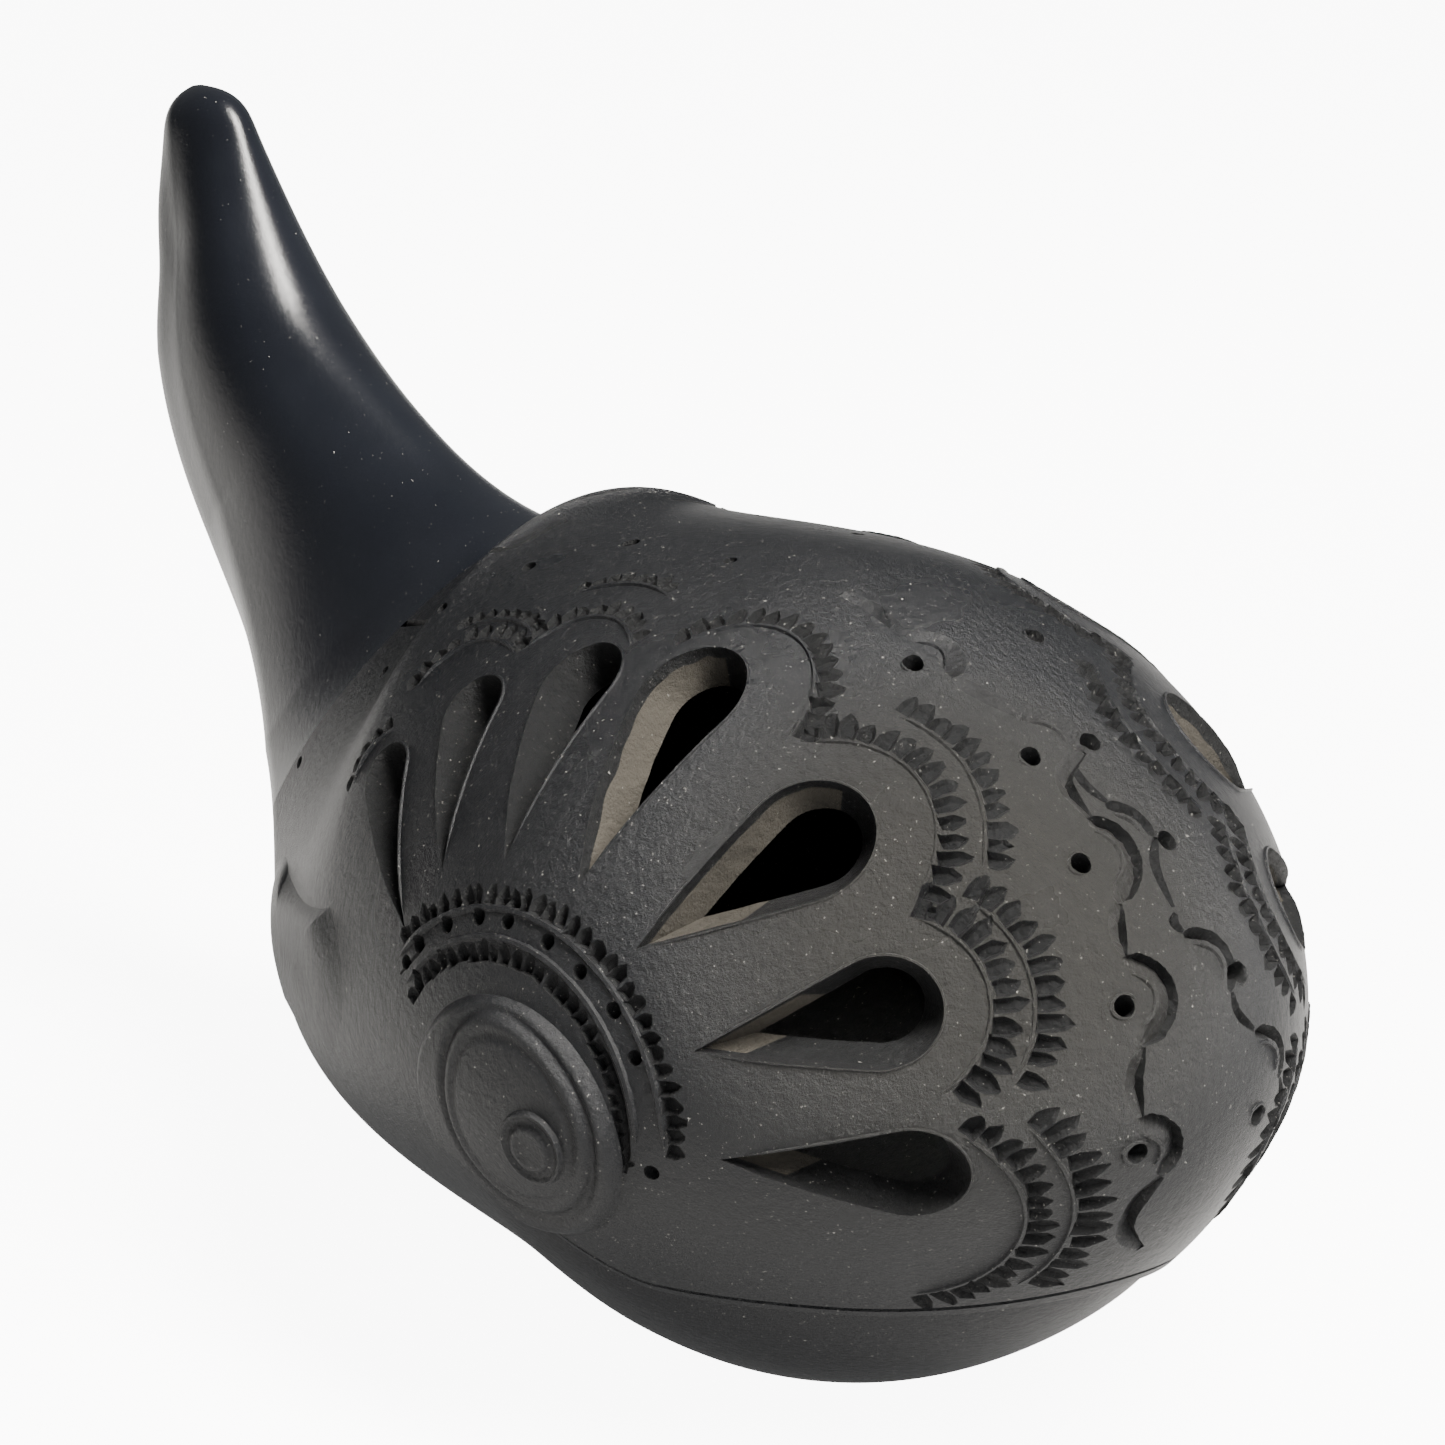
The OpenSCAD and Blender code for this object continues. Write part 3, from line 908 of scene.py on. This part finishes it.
def pad(outline, middle, height, rings=40, seat=0.5):
    """Closed pad over the right side. outline is its edge as x, z points, height(x, z, share) how proud it
    stands at a share of the way from the middle to the edge, and seat how deep its back lies."""
    top = []
    bottom = []
    for i in range(1, rings + 1):
        share = i / rings
        ring = [on_side(middle[0] + share * (x - middle[0]), middle[1] + share * (z - middle[1]))
                for x, z in outline]
        place = np.array([r[0] for r in ring])
        normal = np.array([r[1] for r in ring])
        proud = np.array([height(q[0], q[2], share) for q in place])
        top.append(place + normal * proud[:, None])
        bottom.append(place - normal * seat)
    place, normal = on_side(*middle)
    first = place + normal * height(place[0], place[2], 0)
    last = place - normal * seat
    points, faces = closed_mesh(top + bottom[::-4], first, last)
    return points, outward(points, faces), 0


def both_sides(solid, name, slot, cuts=()):
    """The solid, less the cuts, as a piece on the right side and its mirror image on the left."""
    for side, (points, faces, marks) in (("right", solid), ("left", mirrored([solid])[0])):
        obj = scratch_object(points, outward(points, faces), marks)
        combine_all(obj, cuts, "DIFFERENCE")
        make_piece(obj, f"{name}_{side}_clay", slot, f"{name}_{side}")


def flippers():
    """Flat pads, rounded at the upper edge, hollowed just under it and fading out in front."""
    front, rear = (-32, 33, 15.5), (-58, 33, 8.5)
    lean = math.acos((front[2] - rear[2]) / (front[0] - rear[0]))
    outline = [(front[0] + front[2] * math.cos(a), front[1] + front[2] * math.sin(a))
               for a in np.linspace(-lean, lean, 110)]
    outline += [(rear[0] + rear[2] * math.cos(a), rear[1] + rear[2] * math.sin(a))
                for a in np.linspace(lean, 2 * math.pi - lean, 70)]

    def height(x, z, share):
        inside = 1 - share
        crest = peak(inside, 0.26, 0.15) * smooth(z, 31, 46)
        hollow = peak(inside, 0.62, 0.2) * smooth(z, 31, 46)
        fade = 1 - 0.95 * smooth(x - 0.5 * z, -57, -35)
        rise = (0.3 + 0.7 * smooth(z, 27, 41)) * smooth(inside, 0, 0.55) * (1 - 0.6 * hollow)
        return -0.2 + fade * (1.6 * rise + 0.6 * crest)
    both_sides(pad(outline, (-40, 33), height, 40), "flipper", "burnished_clay")


def lid_share(x, z):
    """How far x, z is from the lid's middle: 1 on the edge of its leaf shape."""
    u, v = (x - LID[0]) / LID_SIZE[0], (z - LID[1]) / LID_SIZE[1]
    return math.hypot(u + LID_LEAN * v * v * (v > 0), v)


def eye_mounds():
    """Round mounds, with the lid's leaf shape a little higher and incised, and a line inside it."""
    def height(x, z, share):
        edge = smooth(1 - share, 0, 0.14) ** 0.6
        lid = lid_share(x, z)
        leaf = 0.35 * (1 - smooth(lid, 0.86, 1.04))
        lines = 0.5 * peak(lid, 1, 0.055) + 0.22 * peak(lid, 0.8, 0.05)
        return -0.1 + (MOUND_HEIGHT + leaf) * edge - lines * edge

    outline = [(EYE[0] + EYE_MOUND_R * math.cos(a), EYE[2] + EYE_MOUND_R * math.sin(a))
               for a in turn_angles(150)]
    mound = pad(outline, (EYE[0], EYE[2]), height, 60, 0.4)
    both_sides(mound, "eye_mound", "carved_clay", [under_seam()])


def pupils():
    """Two tilted ovals, one inside the other, standing on the mound."""
    def height(x, z, share):
        inside = 1 - share
        rims = 0.42 * peak(share, 0.86, 0.1) + 0.3 * peak(share, 0.5, 0.12)
        crown = 0.35 * smooth(inside, 0, 0.12) + 0.4 * smooth(inside, 0.2, 0.7)
        return MOUND_HEIGHT + crown + rims * smooth(inside, 0, 0.1)

    tilt = math.radians(PUPIL_TILT)
    outline = []
    for a in turn_angles(72):
        u, v = PUPIL_SIZE[0] * math.cos(a), PUPIL_SIZE[1] * math.sin(a)
        outline.append((PUPIL[0] + u * math.cos(tilt) - v * math.sin(tilt),
                        PUPIL[1] + u * math.sin(tilt) + v * math.cos(tilt)))
    both_sides(pad(outline, PUPIL, height, 26, -1.2), "pupil", "carved_clay")


# ---- Camera, floor and lights ----
def camera():
    """The camera stands to the front right, a little above, and is rolled slightly."""
    azimuth, elevation, roll = map(math.radians, (48.814, 20.286, 1.965))
    distance = 532.7
    aim = np.array([0, 0, 44.0])
    aside, above = 0.02172, 0.03987
    back = np.array([math.sin(azimuth) * math.cos(elevation), -math.cos(azimuth) * math.cos(elevation),
                     math.sin(elevation)])
    right = np.array([math.cos(azimuth), math.sin(azimuth), 0])
    up = np.cross(back, right)
    right, up = (right * math.cos(roll) + up * math.sin(roll), up * math.cos(roll) - right * math.sin(roll))
    # the view's middle is left of and above the aim, by these shares of the distance
    look = unit(-back - aside * right + above * up)
    right = unit(np.cross(look, up))
    up = np.cross(right, look)
    data = bpy.data.cameras.new("camera")
    data.sensor_width = 36
    data.lens = 125.9
    data.clip_start = 0.01
    obj = bpy.data.objects.new("camera", data)
    bpy.context.scene.collection.objects.link(obj)
    place = (aim + distance * back) * SCALE + np.array([ORIGIN_X, 0, 0])
    obj.matrix_world = Matrix([[right[i], up[i], -look[i], place[i]] for i in range(3)] + [[0, 0, 0, 1]])
    bpy.context.scene.camera = obj


def area_light(name, place, target, size, power, colour=(1, 1, 1)):
    """Oval light. Places are in metres, and power in watts."""
    data = bpy.data.lights.new(name, "AREA")
    data.shape = "ELLIPSE"
    data.size, data.size_y = size
    data.energy = power
    data.color = colour
    obj = bpy.data.objects.new(name, data)
    obj.location = place
    obj.rotation_euler = (Vector(target) - Vector(place)).to_track_quat("-Z", "Y").to_euler()
    bpy.context.scene.collection.objects.link(obj)


def floor_material():
    """Pale floor that is white to the camera and sheds less light than that on the object."""
    material = bpy.data.materials.new("pale_floor")
    material.use_nodes = True
    tree = material.node_tree
    shader = tree.nodes["Principled BSDF"]
    shader.inputs["Base Color"].default_value = (0.35, 0.35, 0.35, 1)
    shader.inputs["Roughness"].default_value = 0.9
    shader.inputs["Emission Color"].default_value = (1, 1, 1, 1)
    seen = node(tree, "ShaderNodeLightPath").outputs["Is Camera Ray"]
    tree.links.new(ranged(tree, seen, 0.25, 9.0), shader.inputs["Emission Strength"])
    return material


def floor():
    reach = 6.0
    mesh = bpy.data.meshes.new("floor")
    corners = [(-reach, -reach, 0), (reach, -reach, 0), (reach, reach, 0), (-reach, reach, 0)]
    mesh.from_pydata(corners, [], [(0, 1, 2, 3)])
    mesh.materials.append(floor_material())
    obj = bpy.data.objects.new("floor", mesh)
    bpy.context.scene.collection.objects.link(obj)


def studio():
    """Floor, dim sky, and three soft lights."""
    floor()
    world = bpy.data.worlds.new("studio")
    world.use_nodes = True
    sky = world.node_tree.nodes["Background"]
    sky.inputs["Color"].default_value = (0.97, 0.985, 1, 1)
    sky.inputs["Strength"].default_value = 0.16
    bpy.context.scene.world = world
    aim = (0, 0, 0.05)
    area_light("key", (0.64, 0.1, 1.1), aim, (0.45, 1.1), 118, (1, 0.97, 0.92))
    area_light("fill", (1.1, -0.45, 0.2), aim, (0.8, 0.35), 7, (0.95, 0.97, 1))
    area_light("top", (0.1, 0.3, 1.5), aim, (1.0, 1.0), 2)


camera()
studio()
upper_shell()
lower_shell()
tail()
flippers()
eye_mounds()
pupils()
